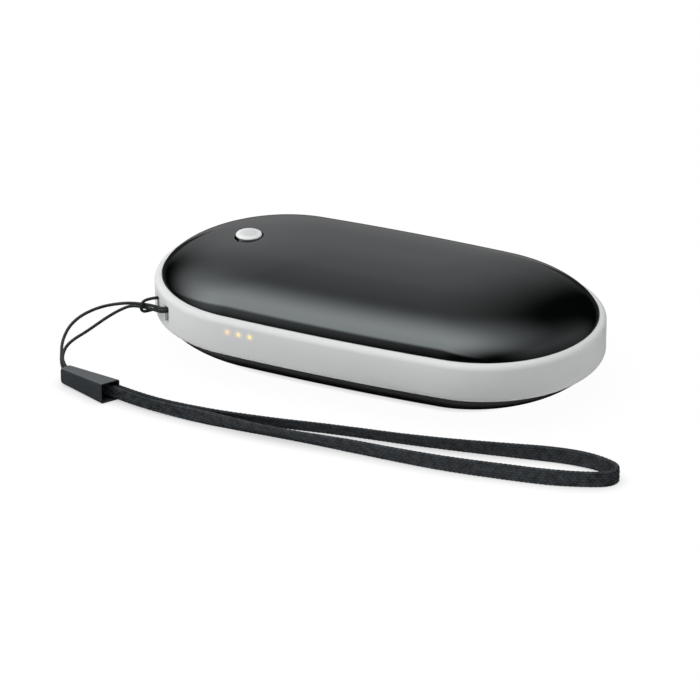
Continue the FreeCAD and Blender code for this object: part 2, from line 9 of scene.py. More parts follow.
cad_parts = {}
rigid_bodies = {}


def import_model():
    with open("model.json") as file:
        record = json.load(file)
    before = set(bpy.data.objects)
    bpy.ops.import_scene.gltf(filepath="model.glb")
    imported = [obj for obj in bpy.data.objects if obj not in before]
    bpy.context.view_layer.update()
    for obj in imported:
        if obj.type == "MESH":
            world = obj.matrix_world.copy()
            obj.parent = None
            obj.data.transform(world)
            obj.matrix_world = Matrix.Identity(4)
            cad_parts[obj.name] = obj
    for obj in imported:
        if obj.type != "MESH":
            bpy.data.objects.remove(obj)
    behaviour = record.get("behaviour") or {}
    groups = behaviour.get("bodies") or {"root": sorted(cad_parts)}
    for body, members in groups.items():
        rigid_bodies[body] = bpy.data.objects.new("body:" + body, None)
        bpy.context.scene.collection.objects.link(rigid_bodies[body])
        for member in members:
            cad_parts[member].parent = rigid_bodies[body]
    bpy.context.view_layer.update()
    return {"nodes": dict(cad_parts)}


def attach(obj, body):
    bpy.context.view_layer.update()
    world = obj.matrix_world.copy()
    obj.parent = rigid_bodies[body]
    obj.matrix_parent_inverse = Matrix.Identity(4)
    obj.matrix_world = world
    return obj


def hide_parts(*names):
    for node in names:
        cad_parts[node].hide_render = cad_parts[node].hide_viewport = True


# hand warmer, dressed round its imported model; lengths are in mm until a mesh is made
for leftover in list(bpy.data.objects):
    bpy.data.objects.remove(leftover)
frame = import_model()
mm = 0.001
# vertices nearer than this, in metres, are one
weldGap = 1e-7
scene = bpy.context.scene
print("frame loaded:", len(frame["nodes"]), "nodes")


# small tools

def linear(hexColour):
    # sRGB hex to linear: the piecewise sRGB curve, undone channel by channel
    srgb = np.array([int(hexColour[i:i + 2], 16) for i in (1, 3, 5)]) / 255
    low, high = srgb / 12.92, ((srgb + 0.055) / 1.055) ** 2.4
    return (*np.where(srgb < 0.04045, low, high).tolist(), 1.0)


def addNode(tree, kind, settings=None, links=None):
    # one node: settings fill its sockets or properties, links feed its sockets
    node = tree.nodes.new(kind)
    for key, value in (settings or {}).items():
        if isinstance(key, int) or key in node.inputs:
            node.inputs[key].default_value = value
        else:
            setattr(node, key, value)
    for key, source in (links or {}).items():
        tree.links.new(source, node.inputs[key])
    return node


def gridMesh(name, points, closeRows=False, closeColumns=True, uv=None, marks=None):
    # rows x columns x 3 points in mm to a quad mesh; closed ways wrap, doubles at poles merge
    rows, columns = points.shape[:2]
    i = np.arange(rows if closeRows else rows - 1)[:, None]
    j = np.arange(columns if closeColumns else columns - 1)[None, :]
    iNext, jNext = (i + 1) % rows, (j + 1) % columns
    quads = np.stack(np.broadcast_arrays(i * columns + j, i * columns + jNext,
                                         iNext * columns + jNext, iNext * columns + j), -1).reshape(-1, 4)
    mesh = bpy.data.meshes.new(name)
    mesh.vertices.add(rows * columns)
    mesh.vertices.foreach_set("co", (points * mm).astype(np.float32).ravel())
    mesh.loops.add(quads.size)
    mesh.loops.foreach_set("vertex_index", quads.astype(np.int32).ravel())
    mesh.polygons.add(len(quads))
    mesh.polygons.foreach_set("loop_start", np.arange(0, quads.size, 4, dtype=np.int32))
    if uv is not None:
        along, round_ = uv
        corners = np.stack(np.broadcast_arrays(
            np.stack(np.broadcast_arrays(along[i], along[i], along[i + 1], along[i + 1]), -1),
            np.stack(np.broadcast_arrays(round_[j], round_[j + 1], round_[j + 1], round_[j]), -1)), -1)
        layer = mesh.uv_layers.new(name="surfaceMm")
        layer.data.foreach_set("uv", corners.astype(np.float32).ravel())
    for mark, values in (marks or {}).items():
        layer = mesh.attributes.new(mark, "FLOAT", "POINT")
        layer.data.foreach_set("value", values.astype(np.float32).ravel())
    mesh.update(calc_edges=True)
    return mesh


def finishMesh(name, mesh, material, body, stands):
    # doubles merged, normals outward, smooth; then the piece rides its body
    work = bmesh.new()
    work.from_mesh(mesh)
    bmesh.ops.remove_doubles(work, verts=work.verts, dist=weldGap)
    bmesh.ops.recalc_face_normals(work, faces=work.faces)
    work.to_mesh(mesh)
    work.free()
    mesh.polygons.foreach_set("use_smooth", np.ones(len(mesh.polygons), bool))
    mesh.materials.append(material)
    piece = bpy.data.objects.new(name, mesh)
    scene.collection.objects.link(piece)
    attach(piece, body)
    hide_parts(*stands)
    print("piece", name, len(mesh.polygons), "faces")
    return piece


# camera, as the photograph was taken: from the right front, 26 degrees up, long lens
shot = {"azimuth": 24.4918, "elevation": 26.1716, "distance": 1000.0, "target": (-6.6826, 0.0, 0.804),
        "focalPixels": 4675.85, "imagePixels": 700, "sensor": 36.0, "clip": (0.01, 50.0)}


def makeCamera(shot):
    # back = unit vector from the target to the camera, from azimuth and elevation
    a, e = math.radians(shot["azimuth"]), math.radians(shot["elevation"])
    back = np.array([math.sin(a) * math.cos(e), -math.cos(a) * math.cos(e), math.sin(e)])
    data = bpy.data.cameras.new("camera")
    data.sensor_width = shot["sensor"]
    data.lens = shot["focalPixels"] * shot["sensor"] / shot["imagePixels"]
    data.clip_start, data.clip_end = shot["clip"]
    camera = bpy.data.objects.new("camera", data)
    camera.location = (np.array(shot["target"]) + back * shot["distance"]) * mm
    camera.rotation_euler = (math.pi / 2 - e, 0, a)
    scene.collection.objects.link(camera)
    scene.camera = camera


makeCamera(shot)
print("camera set")

# sizes of the hull that several pieces share
hull = {"halfLength": 50.0, "halfWidth": 26.7, "endRadius": 26.02, "midZ": 11.7, "seamTop": 16.0,
        "barAngle": 226.0, "buttonX": -30.4}
hull["endX"] = hull["halfLength"] - hull["endRadius"]


# materials

def newMaterial(name):
    # a material with the plain shader alone
    material = bpy.data.materials.new(name)
    material.use_nodes = True
    tree = material.node_tree
    return material, tree, tree.nodes["Principled BSDF"]


# charge lamps seen through the band: where each pin ends, and its colour when lit
lamps = {"y": -26.25, "z": 13.3, "spots": [(-23.05, "#FFC79C"), (-20.4, "#FFDFA8"), (-17.75, "#FFEC90")]}


def lampGlow(tree, place, fullMm, goneMm, level):
    # sum over the lamps: colour times a smooth fade of the distance from the pin's end
    total = None
    for x, colour in lamps["spots"]:
        pinEnd = (x * mm, lamps["y"] * mm, lamps["z"] * mm)
        away = addNode(tree, "ShaderNodeVectorMath", {"operation": "DISTANCE", 1: pinEnd},
                       {0: place.outputs["Object"]})
        fade = addNode(tree, "ShaderNodeMapRange", {
            "interpolation_type": "SMOOTHSTEP", "From Min": goneMm * mm, "From Max": fullMm * mm,
            "To Max": level}, {"Value": away.outputs["Value"]})
        glow = addNode(tree, "ShaderNodeVectorMath", {"operation": "SCALE", 0: linear(colour)[:3]},
                       {"Scale": fade.outputs["Result"]})
        total = glow if total is None else addNode(tree, "ShaderNodeVectorMath", {"operation": "ADD"},
                                                   {0: total.outputs[0], 1: glow.outputs[0]})
    return total.outputs[0]


# the shader's own specular level, for a plain gloss
plainGloss = 0.5


def overLevel(tree, place, level):
    # height over a level: the place's z less the level
    axes = addNode(tree, "ShaderNodeSeparateXYZ", None, {0: place.outputs["Object"]})
    return addNode(tree, "ShaderNodeMath", {"operation": "SUBTRACT", 1: level * mm}, {0: axes.outputs["Z"]})


def mouldedMaterial(name, look):
    # a moulded, sprayed or rolled surface: fine grain in the bump, a slow drift in shade and gloss
    material, tree, shader = newMaterial(name)
    place = addNode(tree, "ShaderNodeTexCoord")
    grain = addNode(tree, "ShaderNodeTexNoise", {"Scale": 1000 / look["grainMm"], "Detail": 3.0},
                    {"Vector": place.outputs["Object"]})
    drift = addNode(tree, "ShaderNodeTexNoise", {"Scale": 1000 / look["driftMm"], "Detail": 2.0},
                    {"Vector": place.outputs["Object"]})
    shade = addNode(tree, "ShaderNodeMix", {
        "data_type": "RGBA", 6: linear(look["dark"]), 7: linear(look["light"])}, {0: drift.outputs["Fac"]})
    gloss = addNode(tree, "ShaderNodeMapRange", {"To Min": look["rough"][0], "To Max": look["rough"][1]},
                    {"Value": drift.outputs["Fac"]})
    bump = addNode(tree, "ShaderNodeBump", {"Strength": 1.0, "Distance": look["depthMm"] * mm},
                   {"Height": grain.outputs["Fac"]})
    tree.links.new(shade.outputs[2], shader.inputs["Base Color"])
    tree.links.new(gloss.outputs["Result"], shader.inputs["Roughness"])
    tree.links.new(bump.outputs["Normal"], shader.inputs["Normal"])
    for socket, value in look.get("sockets", {}).items():
        shader.inputs[socket].default_value = value
    if "grazing" in look:
        # gloss falls by a power on faces that turn away, and to its least share near the middle height
        start, power = look["grazing"]
        middle, bare, polished, least = look["polish"]
        turned = addNode(tree, "ShaderNodeLayerWeight", {"Blend": 0.5})
        fade = addNode(tree, "ShaderNodeMapRange", {
            "From Min": 1.0, "From Max": start, "To Max": plainGloss ** (1 / power)},
            {"Value": turned.outputs["Facing"]})
        level = addNode(tree, "ShaderNodeMath", {"operation": "POWER", 1: power},
                        {0: fade.outputs["Result"]})
        away = overLevel(tree, place, middle)
        height = addNode(tree, "ShaderNodeMath", {"operation": "ABSOLUTE"}, {0: away.outputs[0]})
        edge = addNode(tree, "ShaderNodeMapRange", {
            "interpolation_type": "SMOOTHSTEP", "From Min": bare * mm, "From Max": polished * mm,
            "To Min": least}, {"Value": height.outputs[0]})
        clear = addNode(tree, "ShaderNodeMath", {"operation": "MULTIPLY"},
                        {0: level.outputs[0], 1: edge.outputs["Result"]})
        tree.links.new(clear.outputs[0], shader.inputs["Specular IOR Level"])
    if "crown" in look:
        # a face that swells to its middle: height falls with the square of the way from the mid line
        middle, depth, half = look["crown"]
        away = overLevel(tree, place, middle)
        square = addNode(tree, "ShaderNodeMath", {"operation": "MULTIPLY"},
                         {0: away.outputs[0], 1: away.outputs[0]})
        swell = addNode(tree, "ShaderNodeMath", {"operation": "MULTIPLY", 1: -depth / (half * half * mm)},
                        {0: square.outputs[0]})
        face = addNode(tree, "ShaderNodeBump", {"Strength": 1.0, "Distance": 1.0},
                       {"Height": swell.outputs[0]})
        tree.links.new(face.outputs["Normal"], bump.inputs["Normal"])
    if "rim" in look:
        # painted rim highlight: colour by the way from an upright axis, dark in the middle, light at the
        # rim
        axisX, inner, outer = look["rim"]
        flat = addNode(tree, "ShaderNodeVectorMath", {"operation": "MULTIPLY", 1: (1, 1, 0)},
                       {0: place.outputs["Object"]})
        reach = addNode(tree, "ShaderNodeVectorMath", {"operation": "DISTANCE", 1: (axisX * mm, 0, 0)},
                        {0: flat.outputs[0]})
        rimHighlight = addNode(tree, "ShaderNodeMapRange", {
            "interpolation_type": "SMOOTHSTEP", "From Min": inner * mm, "From Max": outer * mm},
            {"Value": reach.outputs["Value"]})
        tree.links.new(rimHighlight.outputs["Result"], shade.inputs[0])
    if "topGloss" in look:
        # sides keep the mould's grain, the upper face is polished: gloss by how far the face looks up
        dull, bright, sideZ, topZ = look["topGloss"]
        facing = addNode(tree, "ShaderNodeSeparateXYZ", None, {0: place.outputs["Normal"]})
        gleam = addNode(tree, "ShaderNodeMapRange", {
            "From Min": sideZ, "From Max": topZ, "To Min": dull, "To Max": bright},
            {"Value": facing.outputs["Z"]})
        tree.links.new(gleam.outputs["Result"], shader.inputs["Specular IOR Level"])
    if "glow" in look:
        # painted lamp light, as emission: full and gone at these distances from each pin's end
        tree.links.new(lampGlow(tree, place, *look["glow"]), shader.inputs["Emission Color"])
        shader.inputs["Emission Strength"].default_value = 1.0
    return material


# lacquered ABS, sprayed and polished: near black, one clear gloss that dulls at the rims,
# a faint orange peel
coverLacquer = mouldedMaterial("lacquered_abs_polished", {
    "dark": "#040505", "light": "#060707", "rough": (0.08, 0.12), "grainMm": 1.6, "depthMm": 0.0005,
    "driftMm": 14.0, "grazing": (0.593, 4.92), "polish": (hull["midZ"], 4.4, 6.1, 0.5),
    "sockets": {"IOR": 1.62, "Specular Tint": (0.955, 1.0, 1.005, 1)}})
# painted ABS, sprayed satin: pale grey with a fine even grain; lamp light is painted on round the lit
# lamps as a faint glow
bandSatin = mouldedMaterial("painted_abs_satin", {
    "dark": "#D0CECD", "light": "#D5D3D2", "rough": (0.46, 0.54), "grainMm": 0.16, "depthMm": 0.003,
    "driftMm": 9.0, "crown": (hull["midZ"], 0.35, 4.3), "glow": (0.5, 1.2, 0.13),
    "sockets": {"IOR": 1.5, "Specular IOR Level": 0.15}})
# white polycarbonate, moulded: milky, lets a little light through; a highlight is painted paler at its rim
buttonMilk = mouldedMaterial("polycarbonate_moulded_white", {
    "dark": "#C8C7C5", "light": "#E4E3E1", "rough": (0.26, 0.34), "grainMm": 0.3, "depthMm": 0.002,
    "driftMm": 3.0, "rim": (hull["buttonX"], 1.3, 2.7),
    "sockets": {"Subsurface Weight": 0.1, "Subsurface Scale": 0.0004,
                "Subsurface Radius": (1.0, 0.95, 0.9)}})
# filled polypropylene, moulded: charcoal, grained dull sides and a polished upper face
sleeveGrain = mouldedMaterial("polypropylene_moulded_charcoal", {
    "dark": "#2B2D2F", "light": "#36393B", "rough": (0.5, 0.6), "grainMm": 0.12, "depthMm": 0.006,
    "driftMm": 4.0, "topGloss": (0.10, 1.0, 0.8, 0.97), "sockets": {"IOR": 1.62}})
print("main materials made")


# lanyard: thin cord from the sleeve round the bar and back, strap from the sleeve's mouth

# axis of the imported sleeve, from which places on cord and strap are counted
sleeve = {"mouth": (6.7, -13.9), "angle": -13.5, "length": 11.6}


def besideCorner(dx, dy, z):
    # a place counted from the lanyard corner of the box round the hull
    return (dx - hull["halfLength"], dy - hull["halfWidth"], z)


def inSleeve(along, across, z, axis=sleeve):
    # a place counted from a sleeve's nose, turned by its angle
    t = math.radians(axis["angle"])
    run = along - axis["length"]
    dx = axis["mouth"][0] + run * math.cos(t) - across * math.sin(t)
    dy = axis["mouth"][1] + run * math.sin(t) + across * math.cos(t)
    return besideCorner(dx, dy, z)


def atBar(out, along, up):
    # a place counted from the lanyard bar: outward, along the band, up
    t = math.radians(hull["barAngle"])
    reach = hull["endRadius"] + out
    x = -hull["endX"] + reach * math.cos(t) - along * math.sin(t)
    return (x, reach * math.sin(t) + along * math.cos(t), hull["midZ"] + up)


def splineLine(route, step):
    # the NURBS line whose control points are the route, read back and spaced evenly by step
    data = bpy.data.curves.new("route", "CURVE")
    data.dimensions = "3D"
    data.resolution_u = 48
    spline = data.splines.new("NURBS")
    spline.points.add(len(route) - 1)
    spline.points.foreach_set("co", np.c_[np.array(route) * mm, np.ones(len(route))].ravel())
    spline.order_u = 3
    spline.use_endpoint_u = True
    holder = bpy.data.objects.new("route", data)
    scene.collection.objects.link(holder)
    bpy.context.view_layer.update()
    line = bpy.data.meshes.new_from_object(holder.evaluated_get(bpy.context.evaluated_depsgraph_get()))
    points = np.empty(len(line.vertices) * 3, np.float32)
    line.vertices.foreach_get("co", points)
    points = points.reshape(-1, 3).astype(float) / mm
    bpy.data.objects.remove(holder)
    bpy.data.curves.remove(data)
    bpy.data.meshes.remove(line)
    run = np.r_[0, np.cumsum(np.linalg.norm(np.diff(points, axis=0), axis=1))]
    even = np.linspace(0, run[-1], int(run[-1] / step) + 1)
    return even, np.stack([np.interp(even, run, points[:, k]) for k in range(3)], 1)


def unit(vectors):
    # each vector over its length
    return vectors / np.linalg.norm(vectors, axis=-1, keepdims=True)


def closedEnds(count):
    # ones with a nought at both ends, so that a carried section closes to a point there
    closed = np.ones(count)
    closed[[0, -1]] = 0
    return closed


# the sleeve's outside tapers from its mouth to a rounded nose; slant = how far the mouth's far side runs
# ahead of its near side, draws = how much of the nose's rounding the sides and the height take
shell = {"mouth": (7.17, -14.88), "angle": -17.3, "length": 13.9, "noseHalf": 1.3, "mouthHalf": 2.15,
         "noseLow": 0.3, "noseTop": 3.75, "mouthTop": 4.6, "noseRound": 1.0, "sideDraw": 0.7,
         "heightDraw": 0.8, "edge": 0.38, "leastEdge": 0.12, "edgeShare": 0.9, "wall": 0.22, "lip": 0.1,
         "lipSteps": 5, "room": 6.5, "roomSteps": 6, "slant": 0.29, "stations": 30, "corner": 8}


def sleeveSurface(shell):
    # rounded rectangles carried along the axis: rounded nose, even taper, lip, then back along the room
    # for the strap
    long, lip, wall = shell["length"], shell["lip"], shell["wall"]
    bend = np.linspace(0, np.pi / 2, shell["lipSteps"])
    outside = (long - lip) * np.linspace(0, 1, shell["stations"]) ** 2
    room = np.linspace(long - lip, long - shell["room"], shell["roomSteps"])[1:]
    along = np.r_[0, outside, long - lip + lip * np.sin(bend[1:]), long - lip + lip * np.cos(bend),
                  room, room[-1]]
    inset = np.r_[0, outside * 0, lip * (1 - np.cos(bend[1:])), wall - lip + lip * np.sin(bend),
                  room * 0 + wall, wall]
    share = along / long
    away = np.clip(1 - along / shell["noseRound"], 0, 1)
    drawn = shell["noseRound"] * (1 - np.sqrt(1 - away ** 2))
    sideIn, heightIn = inset + shell["sideDraw"] * drawn, inset + shell["heightDraw"] * drawn
    half = shell["noseHalf"] + (shell["mouthHalf"] - shell["noseHalf"]) * share - sideIn
    low = shell["noseLow"] * (1 - share) + heightIn
    top = shell["noseTop"] + (shell["mouthTop"] - shell["noseTop"]) * share - heightIn
    closed = closedEnds(len(along))
    half, high, middle = half * closed, (top - low) / 2 * closed, (top + low) / 2
    corner = np.minimum(np.maximum(shell["edge"] - inset, shell["leastEdge"]),
                        shell["edgeShare"] * np.minimum(half, high))[:, None]
    quarter = np.repeat(np.arange(4), shell["corner"])
    turn = (quarter + np.tile(np.linspace(0, 1, shell["corner"]), 4)) * np.pi / 2
    sideways, upward = np.where(quarter % 3 == 0, 1, -1), np.where(quarter < 2, 1, -1)
    across = sideways * (half[:, None] - corner) + corner * np.cos(turn)
    z = middle[:, None] + upward * (high[:, None] - corner) + corner * np.sin(turn)
    places = inSleeve(along[:, None] + shell["slant"] * share[:, None] * across, across, z, shell)
    return gridMesh("strap_sleeve_shell", np.stack(np.broadcast_arrays(*places), -1))


sleevePiece = finishMesh("strap_sleeve_shell", sleeveSurface(shell), sleeveGrain, "case",
                         ["strap_sleeve"])


# thin cord, braided nylon
cord = {"diameter": 0.7, "step": 0.09, "around": 16, "yarns": 4, "layMm": 1.5, "yarnDepth": 0.035,
        "offAxis": (0.31, 0.23, 0.92),
        "route": [inSleeve(2.0, -0.6, 2.75), inSleeve(-0.6, -0.6, 2.75),
                  besideCorner(-6.6, -10.1, 2.9), besideCorner(-8.0, -8.1, 3.3),
                  besideCorner(-8.9, -6.2, 3.9), besideCorner(-9.8, -4.3, 5.1),
                  besideCorner(-10.3, -2.1, 6.1), besideCorner(-10.4, 0.4, 7.2),
                  besideCorner(-9.6, 2.9, 8.3), besideCorner(-7.9, 5.1, 9.3),
                  besideCorner(-5.4, 6.9, 10.2), besideCorner(-2.3, 7.8, 11.0),
                  atBar(5.0, -5.6, -0.2), atBar(2.4, -2.8, 0.2), atBar(1.3, 0.6, 1.0),
                  atBar(0.9, 2.75, 1.4), atBar(-2.6, 2.75, 1.3), atBar(-2.6, -2.75, 1.2),
                  atBar(1.3, -2.85, 1.5), atBar(3.6, -2.8, 1.1),
                  atBar(3.8, -2.65, -1.3), atBar(1.3, -2.85, -1.3),
                  atBar(-2.6, -2.75, -0.5), atBar(-2.6, 2.75, 0.5), atBar(0.9, 2.75, 0.65),
                  atBar(1.3, 0.6, 0.1), atBar(2.4, -2.8, -0.55), atBar(5.2, -4.95, -0.4),
                  besideCorner(-1.4, 6.1, 10.3), besideCorner(-3.0, 3.9, 9.4),
                  besideCorner(-4.5, 1.5, 8.3), besideCorner(-6.0, -0.8, 7.2),
                  besideCorner(-7.5, -2.7, 6.3), besideCorner(-8.3, -4.8, 5.5),
                  besideCorner(-8.1, -7.0, 4.7), besideCorner(-7.3, -8.8, 3.9),
                  inSleeve(-0.9, 0.55, 3.0), inSleeve(2.0, 0.6, 2.75)]}


def cordSurface(cord):
    # tube round the line; yarns = product of two opposite helical waves, pressed into the radius;
    # the section is first set by a direction that the cord never runs along, then its twist is taken out
    even, line = splineLine(cord["route"], cord["step"])
    tangent = unit(np.gradient(line, axis=0))
    side = unit(np.cross(tangent, cord["offAxis"]))
    lift = np.cross(tangent, side)
    twist = np.arctan2((side[1:] * lift[:-1]).sum(1), (side[1:] * side[:-1]).sum(1))
    turn = -np.r_[0, np.cumsum(twist)][:, None]
    steady = side * np.cos(turn) + lift * np.sin(turn)
    other = np.cross(tangent, steady)
    angle = np.linspace(0, 2 * np.pi, cord["around"], endpoint=False)
    phase = 2 * np.pi * even[:, None] / cord["layMm"]
    yarn = np.cos(cord["yarns"] * angle + phase) * np.cos(cord["yarns"] * angle - phase)
    hump = 0.5 + 0.5 * yarn
    radius = cord["diameter"] / 2 - cord["yarnDepth"] * (1 - hump)
    radius = radius * closedEnds(len(even))[:, None]
    points = (line[:, None] + radius[..., None] * (steady[:, None] * np.cos(angle)[:, None]
                                                   + other[:, None] * np.sin(angle)[:, None]))
    girth = np.linspace(0, math.pi * cord["diameter"], cord["around"] + 1)
    return line, even, gridMesh("lanyard_cord_braid", points, uv=(even, girth), marks={"hump": hump})


# flat strap, braided tape standing on edge; lean = degrees its top tips to the left of its run, share = its
# width over the plain width, both at places along it
strap = {"width": 3.4, "thick": 0.9, "step": 0.15, "around": 56, "columns": 14, "stitchMm": 1.0,
         "stitchDepth": 0.1, "stitchPower": 0.7, "columnPower": 0.6, "looseShare": 0.28, "seat": 0.8,
         "scatter": (12.99, 78.23, 437.6), "slant": 0.5, "floorGap": 0.02,
         "route": [inSleeve(4.6, -0.08, 2.1), inSleeve(11.6, -0.08, 2.1),
                   besideCorner(13.5, -15.2, 1.75), besideCorner(20.0, -15.9, 1.68),
                   besideCorner(30.0, -16.12, 1.62), besideCorner(44.0, -16.12, 1.5),
                   besideCorner(60.0, -15.45, 1.68), besideCorner(74.0, -15.2, 1.72),
                   besideCorner(84.0, -14.6, 1.72), besideCorner(96.0, -12.9, 1.72),
                   besideCorner(105.0, -11.4, 1.72), besideCorner(112.0, -9.3, 1.72),
                   besideCorner(117.0, -6.7, 1.64), besideCorner(117.0, -3.0, 1.6),
                   besideCorner(112.0, -1.4, 1.72), besideCorner(107.0, -1.1, 1.72),
                   besideCorner(101.0, -1.85, 1.72), besideCorner(92.0, -3.95, 1.7),
                   besideCorner(80.0, -6.4, 1.62), besideCorner(70.0, -8.0, 1.55),
                   besideCorner(57.0, -9.6, 1.5), besideCorner(44.0, -12.0, 1.48),
                   besideCorner(30.0, -14.35, 1.58), besideCorner(18.0, -14.4, 1.62),
                   inSleeve(11.6, 0.7, 2.1), inSleeve(4.6, 0.7, 2.1)],
         "widthAtMm": [0, 9, 16, 21, 26, 31, 38, 46, 60, 80, 110, 118, 126,
                       134, 147, 159, 169, 182, 195, 205, 212, 220, 224, 231, 240],
         "widthShare": [0.86, 0.84, 0.80, 0.84, 0.94, 1.09, 1.17, 1.12, 0.97, 1.0, 1.03, 1.04, 1.03,
                        1.02, 0.99, 0.92, 0.87, 0.83, 0.82, 0.85, 0.86, 0.79, 0.78, 0.84, 0.86],
         "leanAtMm": [0, 9, 20, 26, 31, 37, 43, 48, 53, 57, 62, 75, 97, 106,
                      113, 124, 131, 138, 147, 159, 169, 182, 195, 209, 221, 232, 240],
         "leanDeg": [0, 0, 0, -5, -15, -27, -34, -35, -29, -21, -11, -4, 8, 8,
                     0, 0, -9, -8, 6, 15, 18, 20, 20, 15, 5, 0, 0]}


def strapSurface(strap):
    # stadium section carried along the line; stitches = slanted humps in columns round the section, each
    # a little looser or tighter than the next, pressed in below the height where a hump sits on the tape
    even, line = splineLine(strap["route"], strap["step"])
    tangent = unit(np.gradient(line, axis=0))
    flat = unit(np.cross((0, 0, 1), tangent))
    upright = np.cross(tangent, flat)
    lean = np.radians(np.interp(even, strap["leanAtMm"], strap["leanDeg"]))[:, None]
    wide = upright * np.cos(lean) + flat * np.sin(lean)
    thin = flat * np.cos(lean) - upright * np.sin(lean)
    share = np.interp(even, strap["widthAtMm"], strap["widthShare"])[:, None]
    cap = strap["thick"] / 2
    run = strap["width"] - strap["thick"]
    girth = 2 * run + 2 * math.pi * cap
    q = np.linspace(0, girth, strap["around"] + 1)
    s = q[:-1]
    bend = np.pi * cap
    turnA, turnB = np.clip((s - run) / cap, 0, np.pi), np.clip((s - 2 * run - bend) / cap, 0, np.pi)
    inSide = np.clip(s, 0, run) - np.clip(s - run - bend, 0, run) - run / 2
    normalW = np.where(s < run + bend, np.sin(turnA), -np.sin(turnB))
    normalT = np.where(s < run + bend, np.cos(turnA), -np.cos(turnB))
    w, t = inSide + cap * normalW, cap * normalT
    column = s / girth * strap["columns"]
    whole = np.floor(column)
    local = column - whole - 0.5
    ways = np.where(whole % 2 == 0, 1.0, -1.0)
    stitch = even[:, None] / strap["stitchMm"] + 0.5 * (whole % 2) + strap["slant"] * ways * local
    byStitch, byColumn, spread = strap["scatter"]
    loose = np.abs(np.sin(np.round(stitch) * byStitch + whole * byColumn) * spread) % 1
    rise = np.abs(np.cos(np.pi * stitch)) ** strap["stitchPower"]
    hump = rise * np.cos(np.pi * local) ** strap["columnPower"] * (1 - strap["looseShare"] * (1 - loose))
    press = strap["stitchDepth"] * (hump - strap["seat"])
    closed = closedEnds(len(even))[:, None]
    w = (w * share + press * normalW) * closed
    t = (t * share + press * normalT) * closed
    points = line[:, None] + w[..., None] * wide[:, None] + t[..., None] * thin[:, None]
    points[..., 2] = np.maximum(points[..., 2], strap["floorGap"])
    return line, even, gridMesh("wrist_strap_braid", points, uv=(even, q), marks={"hump": hump})


def yarnMaterial(name, look):
    # fibres = noise stretched along the piece's own UV, in mm; hump = the braid's height, 0 in a pit
    material, tree, shader = newMaterial(name)
    place = addNode(tree, "ShaderNodeUVMap", {"uv_map": "surfaceMm"})
    height = addNode(tree, "ShaderNodeAttribute", {"attribute_name": "hump"})
    stretch = (1 / look["fibreLongMm"], 1 / look["fibreMm"], 1)
    spread = addNode(tree, "ShaderNodeMapping", {"Scale": stretch}, {"Vector": place.outputs["UV"]})
    fibre = addNode(tree, "ShaderNodeTexNoise", {"Scale": 1.0, "Detail": 3.0, "Roughness": 0.6},
                    {"Vector": spread.outputs["Vector"]})
    drift = addNode(tree, "ShaderNodeTexNoise", {"Scale": 1 / look["driftMm"], "Detail": 1.0},
                    {"Vector": place.outputs["UV"]})
    # colour by the braid's height: paler tops as wear, pits darkened as painted shade
    wearAndPitShade = addNode(tree, "ShaderNodeMath", {"operation": "MULTIPLY"},
                   {0: height.outputs["Fac"], 1: fibre.outputs["Fac"]})
    shade = addNode(tree, "ShaderNodeMath", {"operation": "ADD"},
                    {0: wearAndPitShade.outputs[0], 1: drift.outputs["Fac"]})
    ramp = addNode(tree, "ShaderNodeValToRGB", None, {"Fac": shade.outputs[0]})
    for end, position, colour in zip(ramp.color_ramp.elements, look["ramp"], (look["dark"], look["light"])):
        end.position = position
        end.color = linear(colour)
    bump = addNode(tree, "ShaderNodeBump", {"Strength": 1.0, "Distance": look["depthMm"] * mm},
                   {"Height": fibre.outputs["Fac"]})
    tree.links.new(ramp.outputs["Color"], shader.inputs["Base Color"])
    tree.links.new(bump.outputs["Normal"], shader.inputs["Normal"])
    for socket, value in look["sockets"].items():
        shader.inputs[socket].default_value = value
    return material


# dyed polyester yarn, braided: dull black with a soft sheen, paler tops as wear, and painted shade
# darkening the pits between stitches
strapYarn = yarnMaterial("polyester_braided_black", {
    "dark": "#0E1012", "light": "#32373B", "ramp": (0.45, 1.0), "fibreMm": 0.10, "fibreLongMm": 0.55,
    "driftMm": 1.4, "depthMm": 0.03,
    "sockets": {"Roughness": 0.72, "Sheen Weight": 0.04, "Sheen Roughness": 0.5, "IOR": 1.4}})
# dyed nylon yarn, braided: finer, a little darker and smoother, with the same painted shade in the pits
cordYarn = yarnMaterial("nylon_braided_black", {
    "dark": "#0E0F10", "light": "#26292B", "ramp": (0.45, 1.0), "fibreMm": 0.06, "fibreLongMm": 0.4,
    "driftMm": 1.2, "depthMm": 0.01, "sockets": {"Roughness": 0.6, "Sheen Weight": 0.04, "IOR": 1.4}})

cordLine, cordRun, cordMesh = cordSurface(cord)
cordPiece = finishMesh("lanyard_cord_braid", cordMesh, cordYarn, "case", ["lanyard_cord"])
strapLine, strapRun, strapMesh = strapSurface(strap)
strapPiece = finishMesh("wrist_strap_braid", strapMesh, strapYarn, "case", ["wrist_strap"])
print("cord mm", round(cordRun[-1], 1), "strap mm", round(strapRun[-1], 1))


# covers

# crowd = the power that gathers the rings of faces at the rim
cover = {"outerInset": 1.6, "outerHeight": 7.4, "innerInset": 2.8, "innerHeight": 6.2, "skirt": 1.8,
         "crownShare": 0.43, "crownFlat": 0.25, "power": 2.8, "rise": 0.7, "crownLift": 0.4,
         "liftReach": 0.7, "holeRadius": 3.05, "holeEdge": 0.15, "around": 480, "across": 120, "crowd": 2.2,
         "skirtRings": 5, "edgeRings": 5, "widestRing": 1.2, "halvings": 42, "tiny": 1e-12}


